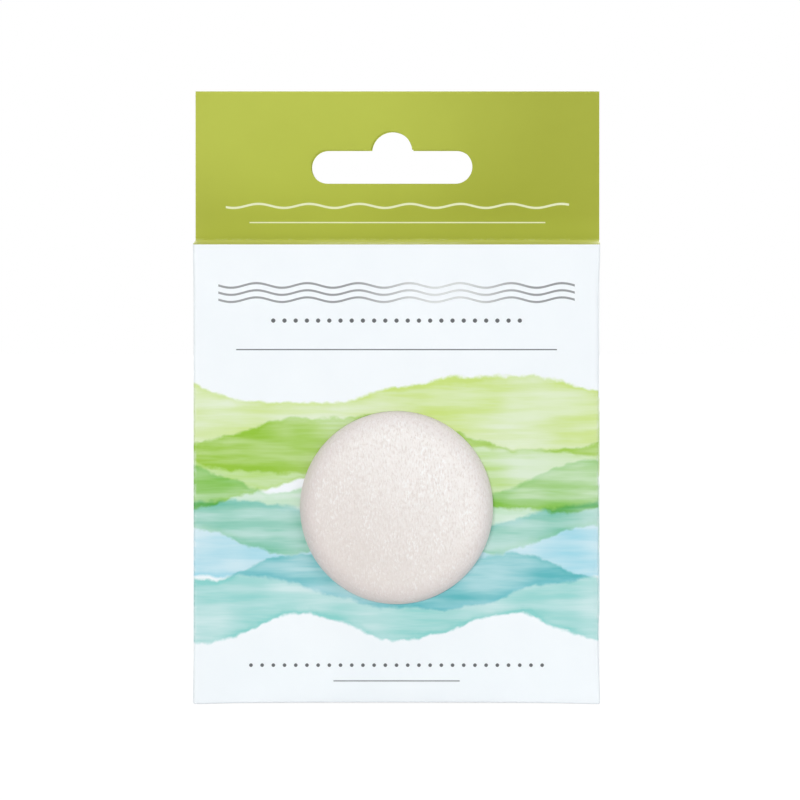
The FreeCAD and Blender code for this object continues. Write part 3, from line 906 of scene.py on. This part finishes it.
# %% Back panel
seam_flat = back_high.x - CREASE
low = Vector((-FLAT_HALF, BACK, 0))
high = Vector((seam_flat, BACK, CARTON_TOP))
sheet = bmesh.new()
lay_panel(sheet, low, high, STANDING)
for level in (foot_fold_z, seam_low.z, seam_high.z, top_fold_z):
    everything = sheet.verts[:] + sheet.edges[:] + sheet.faces[:]
    bmesh.ops.bisect_plane(sheet, geom=everything, plane_co=(0, 0, level), plane_no=Z_AXIS)
left_edges = edges_at(sheet, 0, -FLAT_HALF, foot_fold_z, top_fold_z)
seam_edges = edges_at(sheet, 0, seam_flat, seam_low.z, seam_high.z)
bow_in(sheet, -Y_AXIS, low, high)
fold_over(sheet, left_edges, Vector((-FLAT_HALF, FLAT_BACK, 0)), Z_AXIS, 90)
fold_over(sheet, seam_edges, Vector((seam_flat, FLAT_BACK, 0)), Z_AXIS, -90)
back_board = as_board(sheet, "back_board", printed_board, Y_AXIS)
settle(back_board, "carton", "back_panel")

# %% [markdown]
# ## The header and its hang slot
# The header is two layers of board: the back runs up, folds over at the top and comes down again in
# front. Both are cut with one hang slot, a long opening with round ends and a round hole for the peg.
# Glued layers never meet exactly, so the two slots are a hair off each other. The back layer's inner
# side is given the green print, painted shade where the real sheet is raw board, so that its sliver in
# the slot shows as a thin dark line. The outline is drawn as a steel rule is bent: straight runs and
# arcs from point to point. A vertex is extruded for a run and spun for an arc, and the closed outlines
# are filled.

# %% Outline helpers
ARC_STEPS = 24


def run_to(sheet, tip, across, up):
    """Run the rule straight to a point."""
    tip = bmesh.ops.extrude_vert_indiv(sheet, verts=[tip])["verts"][0]
    tip.co = (across, up, 0)
    return tip


def bend_round(sheet, tip, across, up, degrees, steps=ARC_STEPS):
    """Bend the rule round a point."""
    spun = bmesh.ops.spin(
        sheet, geom=[tip], cent=(across, up, 0), axis=Z_AXIS, angle=math.radians(degrees), steps=steps
    )
    return next(v for v in spun["geom_last"] if isinstance(v, bmesh.types.BMVert))


def draw_box(sheet, low, high):
    """A rectangle between two corners, each (across, up)."""
    tip = sheet.verts.new((*low, 0))
    for corner in ((high[0], low[1]), high, (low[0], high[1]), low):
        tip = run_to(sheet, tip, *corner)


def fill_outline(sheet, place):
    """Close and fill the outlines, and put the sheet in its place."""
    bmesh.ops.remove_doubles(sheet, verts=sheet.verts, dist=MERGE)
    bmesh.ops.triangle_fill(sheet, use_beauty=True, edges=sheet.edges[:])
    bmesh.ops.transform(sheet, matrix=place, verts=sheet.verts)


# %% Outline of the hang slot
SLOT_WIDTH = 32 * MM
SLOT_HEIGHT = 6.7 * MM
PEG_RADIUS = 4.1 * MM
PEG_DROP = 0.4 * MM

slot_middle = next(Vector(m["pos_m"]) for m in frame["record"]["mounts"] if m["name"] == "hang_slot")
slot_end = SLOT_WIDTH / 2 - SLOT_HEIGHT / 2
print("slot middle", [round(v / MM, 2) for v in slot_middle])


def draw_hang_slot(sheet, shift):
    """The slot's outline, from the right foot of the peg hole over its top and round the slot."""
    middle = slot_middle.x + shift.x
    level = slot_middle.z + shift.z
    top = level + SLOT_HEIGHT / 2
    half_chord = math.sqrt(PEG_RADIUS**2 - PEG_DROP**2)
    sweep = 180 - 2 * math.degrees(math.asin(PEG_DROP / PEG_RADIUS))
    tip = sheet.verts.new((middle + half_chord, top, 0))
    tip = bend_round(sheet, tip, middle, top - PEG_DROP, sweep)
    tip = run_to(sheet, tip, middle - slot_end, top)
    tip = bend_round(sheet, tip, middle - slot_end, level, 180)
    tip = run_to(sheet, tip, middle + slot_end, top - SLOT_HEIGHT)
    tip = bend_round(sheet, tip, middle + slot_end, level, 180)
    run_to(sheet, tip, middle + half_chord, top)


# %% Header layers
BACK_SHIFT = Vector((0.2, 0, -0.04)) * MM
FRONT_SHIFT = Vector((-0.06, 0, 0.2)) * MM

layer_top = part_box("header_back_layer")[1].z
layer_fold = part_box("header_front_layer")[1].z - layer_top
header_front = lid_hinge.y + CREASE - BOARD

sheet = bmesh.new()
draw_box(sheet, (-HALF_WIDTH, CARTON_TOP), (HALF_WIDTH, layer_top))
draw_hang_slot(sheet, BACK_SHIFT)
fill_outline(sheet, Matrix.Translation((0, BACK, 0)) @ STANDING)
# The back layer's inner side takes the green print as painted shade for the thin dark line in the slot.
header_back = as_board(sheet, "header_back_board", green_board, Y_AXIS, green_board)
settle(header_back, "carton", "header_back_layer")

sheet = bmesh.new()
draw_box(sheet, (-HALF_WIDTH, lid_hinge.z), (HALF_WIDTH, layer_top))
draw_hang_slot(sheet, FRONT_SHIFT)
fill_outline(sheet, Matrix.Translation((0, header_front, 0)) @ STANDING)
top_crease = Vector((0, header_front + layer_fold, layer_top))
fold_over(sheet, edges_at(sheet, 2, layer_top), top_crease, X_AXIS, -180, 2 * FOLD_STEPS)
header_board = as_board(sheet, "header_front_board", green_board, -Y_AXIS)
settle(header_board, "carton", "header_front_layer")

# %% [markdown]
# ## The lid, the bottom and their tuck flaps
# Two flat panels close the carton, each with a tuck flap whose corners are rounded so that it slips
# in behind the wall. A flap leans in a little, as real ones do. It is drawn on its crease and then
# leant over about it.

# %% Lid and bottom
COVER_GAP = 0.05 * MM
COVER_HALF = HALF_WIDTH - COVER_GAP
CORNER_RELIEF = 0.15 * MM

sheet = bmesh.new()
low = Vector((-COVER_HALF, lid_tuck_fold.y, CARTON_TOP))
high = Vector((COVER_HALF, lid_hinge.y, CARTON_TOP))
lay_panel(sheet, low, high, LYING)
lid_board = as_board(sheet, "lid_board", green_board, Z_AXIS)
settle(lid_board, "lid", "lid_panel")

bottom_low, bottom_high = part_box("bottom_panel")
BOTTOM_HALF = bottom_high.x
sheet = bmesh.new()
low = Vector((-BOTTOM_HALF, bottom_low.y, 0))
high = Vector((BOTTOM_HALF, bottom_tuck_fold.y, 0))
lay_panel(sheet, low, high, LYING)
for v in sheet.verts:
    if v.co.y < bottom_low.y + SAME:
        v.co.x *= (FLAT_HALF - CORNER_RELIEF) / BOTTOM_HALF
lift_foot(sheet)
bottom_board = as_board(sheet, "bottom_board", printed_board, -Z_AXIS)
settle(bottom_board, "bottom", "bottom_panel")

# %% Tuck flaps
TUCK_LENGTH = 12 * MM
TUCK_CORNER = 7 * MM
TUCK_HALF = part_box("lid_tuck_flap")[1].x
LID_LEAN_DEGREES = 13
BOTTOM_LEAN_DEGREES = 10


def tuck_flap(name, hinge, rise, lean_degrees, finish):
    """A flap with round corners, drawn up or down from its crease and leant inwards."""
    sheet = bmesh.new()
    shoulder = TUCK_LENGTH - TUCK_CORNER
    tip = sheet.verts.new((-TUCK_HALF, 0, 0))
    tip = run_to(sheet, tip, TUCK_HALF, 0)
    tip = run_to(sheet, tip, TUCK_HALF, shoulder)
    tip = bend_round(sheet, tip, TUCK_HALF - TUCK_CORNER, shoulder, 90)
    tip = run_to(sheet, tip, TUCK_CORNER - TUCK_HALF, TUCK_LENGTH)
    tip = bend_round(sheet, tip, TUCK_CORNER - TUCK_HALF, shoulder, 90)
    run_to(sheet, tip, -TUCK_HALF, 0)
    lean = Matrix.Rotation(math.radians(lean_degrees), 4, "X")
    upright = Matrix.Translation((0, rise * CREASE, 0)) @ Matrix.Scale(rise, 4, Z_AXIS) @ STANDING
    fill_outline(sheet, Matrix.Translation(hinge) @ lean @ upright)
    return as_board(sheet, name, finish, rise * Y_AXIS)


lid_tuck = tuck_flap(
    "lid_tuck_board", lid_tuck_fold, -1, LID_LEAN_DEGREES, green_board
)
settle(lid_tuck, "lid_tuck", "lid_tuck_flap")
bottom_tuck = tuck_flap(
    "bottom_tuck_board", bottom_tuck_fold, 1, BOTTOM_LEAN_DEGREES, printed_board
)
settle(bottom_tuck, "bottom_tuck", "bottom_tuck_flap")

# %% [markdown]
# ## Bent creases
# Board stays in one piece across a crease, so each crease is a strip bent round its hinge. The lid's
# crease bends the other way: its print is on the inner side of the curve.

# %% Helper for a bent strip
TAPER_SHARE = 0.5
FOOT_CUTS = 40


def bend_crease(
    name, bodies, hinge, axis, start, degrees, ends, run_out, finish, hollow=False, narrow=1
):
    """A strip round a hinge, from a start direction; hollow puts the print inside the curve.

    Narrow is the share of the width that is left at the end of the bend.
    """
    radius = CREASE - BOARD if hollow else CREASE
    sheet = bmesh.new()
    pair = [sheet.verts.new(hinge + start * radius + axis * end) for end in ends]
    last = fold_over(sheet, [sheet.edges.new(pair)], hinge, axis, degrees)
    turned = Matrix.Rotation(math.radians(degrees), 3, axis)
    halfway = Matrix.Rotation(math.radians(degrees / 2), 3, axis) @ start
    if run_out:
        ahead = (turned @ axis.cross(start)) * math.copysign(run_out, degrees)
        last_edges = [e for e in last if isinstance(e, bmesh.types.BMEdge)]
        moved = bmesh.ops.extrude_edge_only(sheet, edges=last_edges)["geom"]
        moved = [v for v in moved if isinstance(v, bmesh.types.BMVert)]
        bmesh.ops.translate(sheet, vec=ahead, verts=moved)
    for v in sheet.verts:
        still = hold((v.co - hinge).dot(start) / radius)
        v.co.x *= narrow + (1 - narrow) * hold(still / TAPER_SHARE)
    if "bottom" in bodies:
        edges = [e for e in sheet.edges if abs(e.verts[0].co.x - e.verts[1].co.x) > PANEL_CELL]
        bmesh.ops.subdivide_edges(sheet, edges=edges, cuts=FOOT_CUTS, use_grid_fill=True)
        if "carton" in bodies:
            crisp_foot(sheet)
        lift_foot(sheet)
    strip = as_board(sheet, name, finish, -halfway if hollow else halfway)
    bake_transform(strip)
    return strip


# %% Bent strips of the lid and the bottom
cover_ends = (-COVER_HALF, COVER_HALF)
foot_ends = (-BOTTOM_HALF, BOTTOM_HALF)
flat_ends = (-FLAT_HALF, FLAT_HALF)
bend_crease(
    "lid_crease", ("carton", "lid"), lid_hinge, X_AXIS, Y_AXIS, -90,
    cover_ends, 0, green_board, hollow=True,
)
bend_crease(
    "lid_tuck_crease", ("lid", "lid_tuck"), lid_tuck_fold, X_AXIS, Z_AXIS, 90 + LID_LEAN_DEGREES,
    cover_ends, 0, green_board, narrow=TUCK_HALF / COVER_HALF,
)
bend_crease(
    "bottom_crease", ("carton", "bottom"), bottom_hinge, X_AXIS, -Y_AXIS, 90,
    flat_ends, bottom_low.y - bottom_hinge.y, printed_board,
)
bend_crease(
    "bottom_tuck_crease", ("bottom", "bottom_tuck"), bottom_tuck_fold, X_AXIS, -Z_AXIS,
    90 + BOTTOM_LEAN_DEGREES, foot_ends, 0, printed_board,
    narrow=TUCK_HALF / BOTTOM_HALF,
)

# %% [markdown]
# ## Dust flaps
# The four dust flaps hang on the sides and fold in under the lid and over the bottom. Each is a grid
# drawn narrower towards its tip. The lower two follow the arched foot, so that they lie on it.

# %% Dust flaps and their creases
# The places of a flap's tip along the depth, from the CAD: front end and back end
TIP_ENDS = {"top": (-10.3 * MM, -0.68 * MM), "bottom": (-2.55 * MM, 10.3 * MM)}

for side, word in SIDES:
    for level, rise in (("top", 1), ("bottom", -1)):
        body = f"{level}_dust_{word}"
        node = f"{level}_dust_flap_{word}"
        hinge = hinges[f"{body}_fold"]
        low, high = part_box(node)
        root = max(low.x * side, high.x * side)
        tip = min(low.x * side, high.x * side)
        bend_crease(
            f"{body}_crease", ("carton", body), hinge, Y_AXIS, side * X_AXIS, -rise * side * 90,
            (low.y, high.y), side * hinge.x - root, raw_board,
        )
        flat_z = hinge.z + rise * CREASE
        tip_corner = Vector((side * tip, low.y, flat_z))
        root_corner = Vector((side * root, high.y, flat_z))
        sheet = bmesh.new()
        lay_panel(sheet, tip_corner, root_corner, LYING)
        for v in sheet.verts:
            out_share = (root - v.co.x * side) / (root - tip)
            front_end = low.y + (TIP_ENDS[level][0] - low.y) * out_share
            back_end = high.y + (TIP_ENDS[level][1] - high.y) * out_share
            v.co.y = front_end + (back_end - front_end) * (v.co.y - low.y) / (high.y - low.y)
        if level == "bottom":
            lift_foot(sheet)
        flap = as_board(sheet, f"{node}_board", raw_board, rise * Z_AXIS)
        settle(flap, body, node)

# %% [markdown]
# ## Board that stays as CAD
# The glue flap and the films of glue lie inside. Their CAD solids have the right shape, so they stay
# and only get their finish.

# %% Finishes for the inner pieces
INNER_FINISHES = {"glue_flap": raw_board, "seam_glue": dried_glue, "header_glue": dried_glue}
for node, finish in INNER_FINISHES.items():
    mesh = frame["nodes"][node].data
    mesh.materials.clear()
    mesh.materials.append(finish)
print("inner pieces", len(INNER_FINISHES))

# %% [markdown]
# ## The sponge
# A konjac sponge is a soft moulded half ball, with a fine fibrous skin. Pressed against the front, it
# is flat round the window and swells out of it like a pillow. Its outline is drawn as one rule and
# spun about the window's axis. Then it is worked over as with the thumbs: broad dents, pits and a
# fine tooth move each point along its normal, except where the sponge meets the board. Cloth
# simulation suits sewn covers, but foam keeps its moulded form, so moving the points is enough.

# %% Sizes of the sponge
NECK_GAP = 0.03 * MM
NECK_STAND = 0.1 * MM
SHOULDER = 3 * MM
CROWN = 0.9 * MM
BEARING = 3.3 * MM
BEARING_GAP = 0.3 * MM
BACK_ROUND = 6 * MM


def arc_radius(run, drop):
    """The radius of an arc that drops so far over a run, and starts level."""
    return (run**2 + drop**2) / (2 * drop)


sponge_radius = sponge_high.x
axis_z = sponge_middle.z
neck = WINDOW_RADIUS - NECK_GAP
root_y = FRONT - NECK_STAND
crown_rim = neck - SHOULDER
crown_y = root_y - SHOULDER - CROWN
crown_radius = arc_radius(crown_rim, CROWN)
bearing = WINDOW_RADIUS + BEARING
bearing_y = FRONT + BOARD + BEARING_GAP
rim_y = sponge_high.y - BACK_ROUND
flat_rim = sponge_radius - BACK_ROUND
dome_run = rim_y - bearing_y
dome_radius = arc_radius(dome_run, sponge_radius - bearing)
print("crown radius", round(crown_radius / MM), "dome radius", round(dome_radius / MM), "mm")

# %% Spin the sponge
CROWN_STEPS = 44
SHOULDER_STEPS = 16
DOME_STEPS = 64
RIM_STEPS = 16
BACK_STEPS = 30
TURN_STEPS = 240

sheet = bmesh.new()
tip = sheet.verts.new((crown_y, 0, 0))
crown_sweep = math.degrees(math.asin(crown_rim / crown_radius))
tip = bend_round(sheet, tip, crown_y + crown_radius, 0, -crown_sweep, CROWN_STEPS)
tip = bend_round(sheet, tip, root_y, crown_rim, -90, SHOULDER_STEPS)
tip = run_to(sheet, tip, bearing_y, neck)
tip = run_to(sheet, tip, bearing_y, bearing)
dome_sweep = math.degrees(math.asin(dome_run / dome_radius))
tip = bend_round(sheet, tip, rim_y, sponge_radius - dome_radius, -dome_sweep, DOME_STEPS)
tip = bend_round(sheet, tip, rim_y, flat_rim, -90, RIM_STEPS)
for step in range(1, BACK_STEPS + 1):
    tip = run_to(sheet, tip, sponge_high.y, flat_rim * (1 - step / BACK_STEPS))
window_axis = Matrix.Translation((sponge_middle.x, 0, axis_z)) @ SIDEWAYS
bmesh.ops.transform(sheet, matrix=window_axis, verts=sheet.verts)
bmesh.ops.spin(
    sheet, geom=sheet.verts[:] + sheet.edges[:], cent=(sponge_middle.x, 0, axis_z), axis=Y_AXIS,
    angle=FULL_TURN, steps=TURN_STEPS, use_merge=True,
)
bmesh.ops.remove_doubles(sheet, verts=sheet.verts, dist=SAME)
bmesh.ops.recalc_face_normals(sheet, faces=sheet.faces)
print("sponge", len(sheet.verts), "points")

# %% Work the foam over
# Broad dents, pits and tooth: size and height in millimetres
DENTS = ((9.0, 0.22), (2.4, 0.07), (0.9, 0.035))
CLEAR_REACH = 2.5 * MM

sheet.normal_update()
for v in sheet.verts:
    off_axis = math.hypot(v.co.x - sponge_middle.x, v.co.z - axis_z)
    to_rim = math.hypot(max(neck - off_axis, off_axis - bearing, 0), max(root_y - v.co.y, 0))
    push = sum(noise.noise(v.co / (size * MM)) * height for size, height in DENTS)
    v.co += v.normal * push * MM * hold(to_rim / CLEAR_REACH)
sponge = to_object(sheet, "konjac_sponge")
sponge.data.shade_smooth()
settle(sponge, "sponge", "sponge")
print("sponge", len(sponge.data.polygons), "faces")

# %% [markdown]
# ## The foam's finish
# Dry konjac foam is a warm white, a little rosy. Its skin shows short upright fibres, tiny pores and
# bright flecks, painted glints where a fibre catches the light. The fibres are noise drawn out
# upwards, and the pores are a texture of cells; both also feed the bump, and the pits are painted
# darker as shade. Towards the upper right the colour is painted lighter, with more hairs and
# flecks, as painted light; towards the window's rim it is painted darker and greyer, as painted shade.

# %% Skin of the foam
FIBRE_STRETCH = (1.0, 1.0, 0.4)
TUFT_STRETCH = (1.0, 1.0, 0.5)
TUFT_BAND = (0.42, 0.62)
PORE_SCALE = 1.7
PORE_BAND = (0.22, 0.04)
# How fast the painted light grows to the right and upwards, and between which sums
LIT_SIDE_SLOPE = (0.6, 0.8)
LIT_SIDE_BAND = (8.0, 52.0)
# How far off the axis the painted shade of the rim begins and ends
RIM_SHADE_BAND = (14.4, 19.2)

sponge_foam, tree, shader, place, parts = new_finish("sponge_foam", roughness=0.9, specular=0.2)
across = parts[0]
up = parts[2]
fibres = grain(tree, place, scale=3.4, detail=3.0, stretch=FIBRE_STRETCH)
skin = grain(tree, place, scale=2.6, detail=4.0)
clouds = grain(tree, place, scale=0.07)
tufts = ramp(tree, grain(tree, place, scale=0.3, stretch=TUFT_STRETCH), *TUFT_BAND)
cells = add_node(tree, "ShaderNodeTexVoronoi", {"Vector": place, "Scale": PORE_SCALE})
pores = ramp(tree, cells.outputs["Distance"], *PORE_BAND)
# Painted light: the foam is lighter towards the upper right, with more hairs and flecks there.
painted_lit_side = ramp(tree, add_up(tree, *zip((across, up), LIT_SIDE_SLOPE)), *LIT_SIDE_BAND)
above = calc(tree, "SUBTRACT", up, axis_z / MM)
# Painted shade: the foam gets darker and greyer towards the window's rim.
rim_shade = ramp(tree, far_off(tree, across, above), *RIM_SHADE_BAND)
print("foam skin", len(tree.nodes), "nodes")

# %% Colour of the foam
FOAM_DARK = ink(228, 218, 213)
FOAM_LIGHT = ink(248, 243, 240)
FOAM_FLECK = ink(255, 254, 253)
# The grey of the rim is painted shade
FOAM_RIM_SHADE = ink(206, 193, 193)
TONE_SHARES = (0.3, 0.25, 0.2, 0.55)
TONE_BAND = (0.2, 1.0)
PORE_SHADE_SHARE = 0.3
RIM_SHADE_SHARE = 0.5
HAIR_BAND = (0.46, 0.36)
FLECK_BAND = (0.53, 0.64)
# Two shares each: what the painted lit side or a tuft adds, and what is there everywhere
HAIR_SHARES = (0.4, 0.25)
FLECK_SHARES = (0.65, 0.3)
TUFT_SHARES = (0.7, 0.3)

tone = ramp(tree, add_up(tree, *zip((fibres, skin, clouds, painted_lit_side), TONE_SHARES)), *TONE_BAND)
color = mix_color(tree, tone, FOAM_DARK, FOAM_LIGHT)
# Painted shade in the pits: the pores are drawn darker.
color = mix_color(tree, calc(tree, "MULTIPLY", pores, PORE_SHADE_SHARE), color, FOAM_DARK)
hair_share = calc(tree, "MULTIPLY_ADD", painted_lit_side, *HAIR_SHARES)
hairs = calc(tree, "MULTIPLY", ramp(tree, fibres, *HAIR_BAND), hair_share)
color = mix_color(tree, hairs, color, FOAM_DARK)
fleck_share = calc(tree, "MULTIPLY_ADD", painted_lit_side, *FLECK_SHARES)
tuft_share = calc(tree, "MULTIPLY_ADD", tufts, *TUFT_SHARES)
bright = calc(tree, "MULTIPLY", ramp(tree, fibres, *FLECK_BAND), fleck_share)
color = mix_color(tree, calc(tree, "MULTIPLY", bright, tuft_share), color, FOAM_FLECK)
# Painted shade towards the window's rim.
color = mix_color(tree, calc(tree, "MULTIPLY", rim_shade, RIM_SHADE_SHARE), color, FOAM_RIM_SHADE)
paint(tree, shader, color)
print("foam colour", len(tree.nodes), "nodes")

# %% Bump of the foam
BUMP_SHARES = (0.6, 0.6, -0.3)
FOAM_BUMP = 0.3 * MM

height = add_up(tree, *zip((fibres, skin, pores), BUMP_SHARES))
press(tree, shader, height, strength=0.8, depth=FOAM_BUMP)
sponge.data.materials.append(sponge_foam)
print("foam", len(tree.nodes), "nodes")
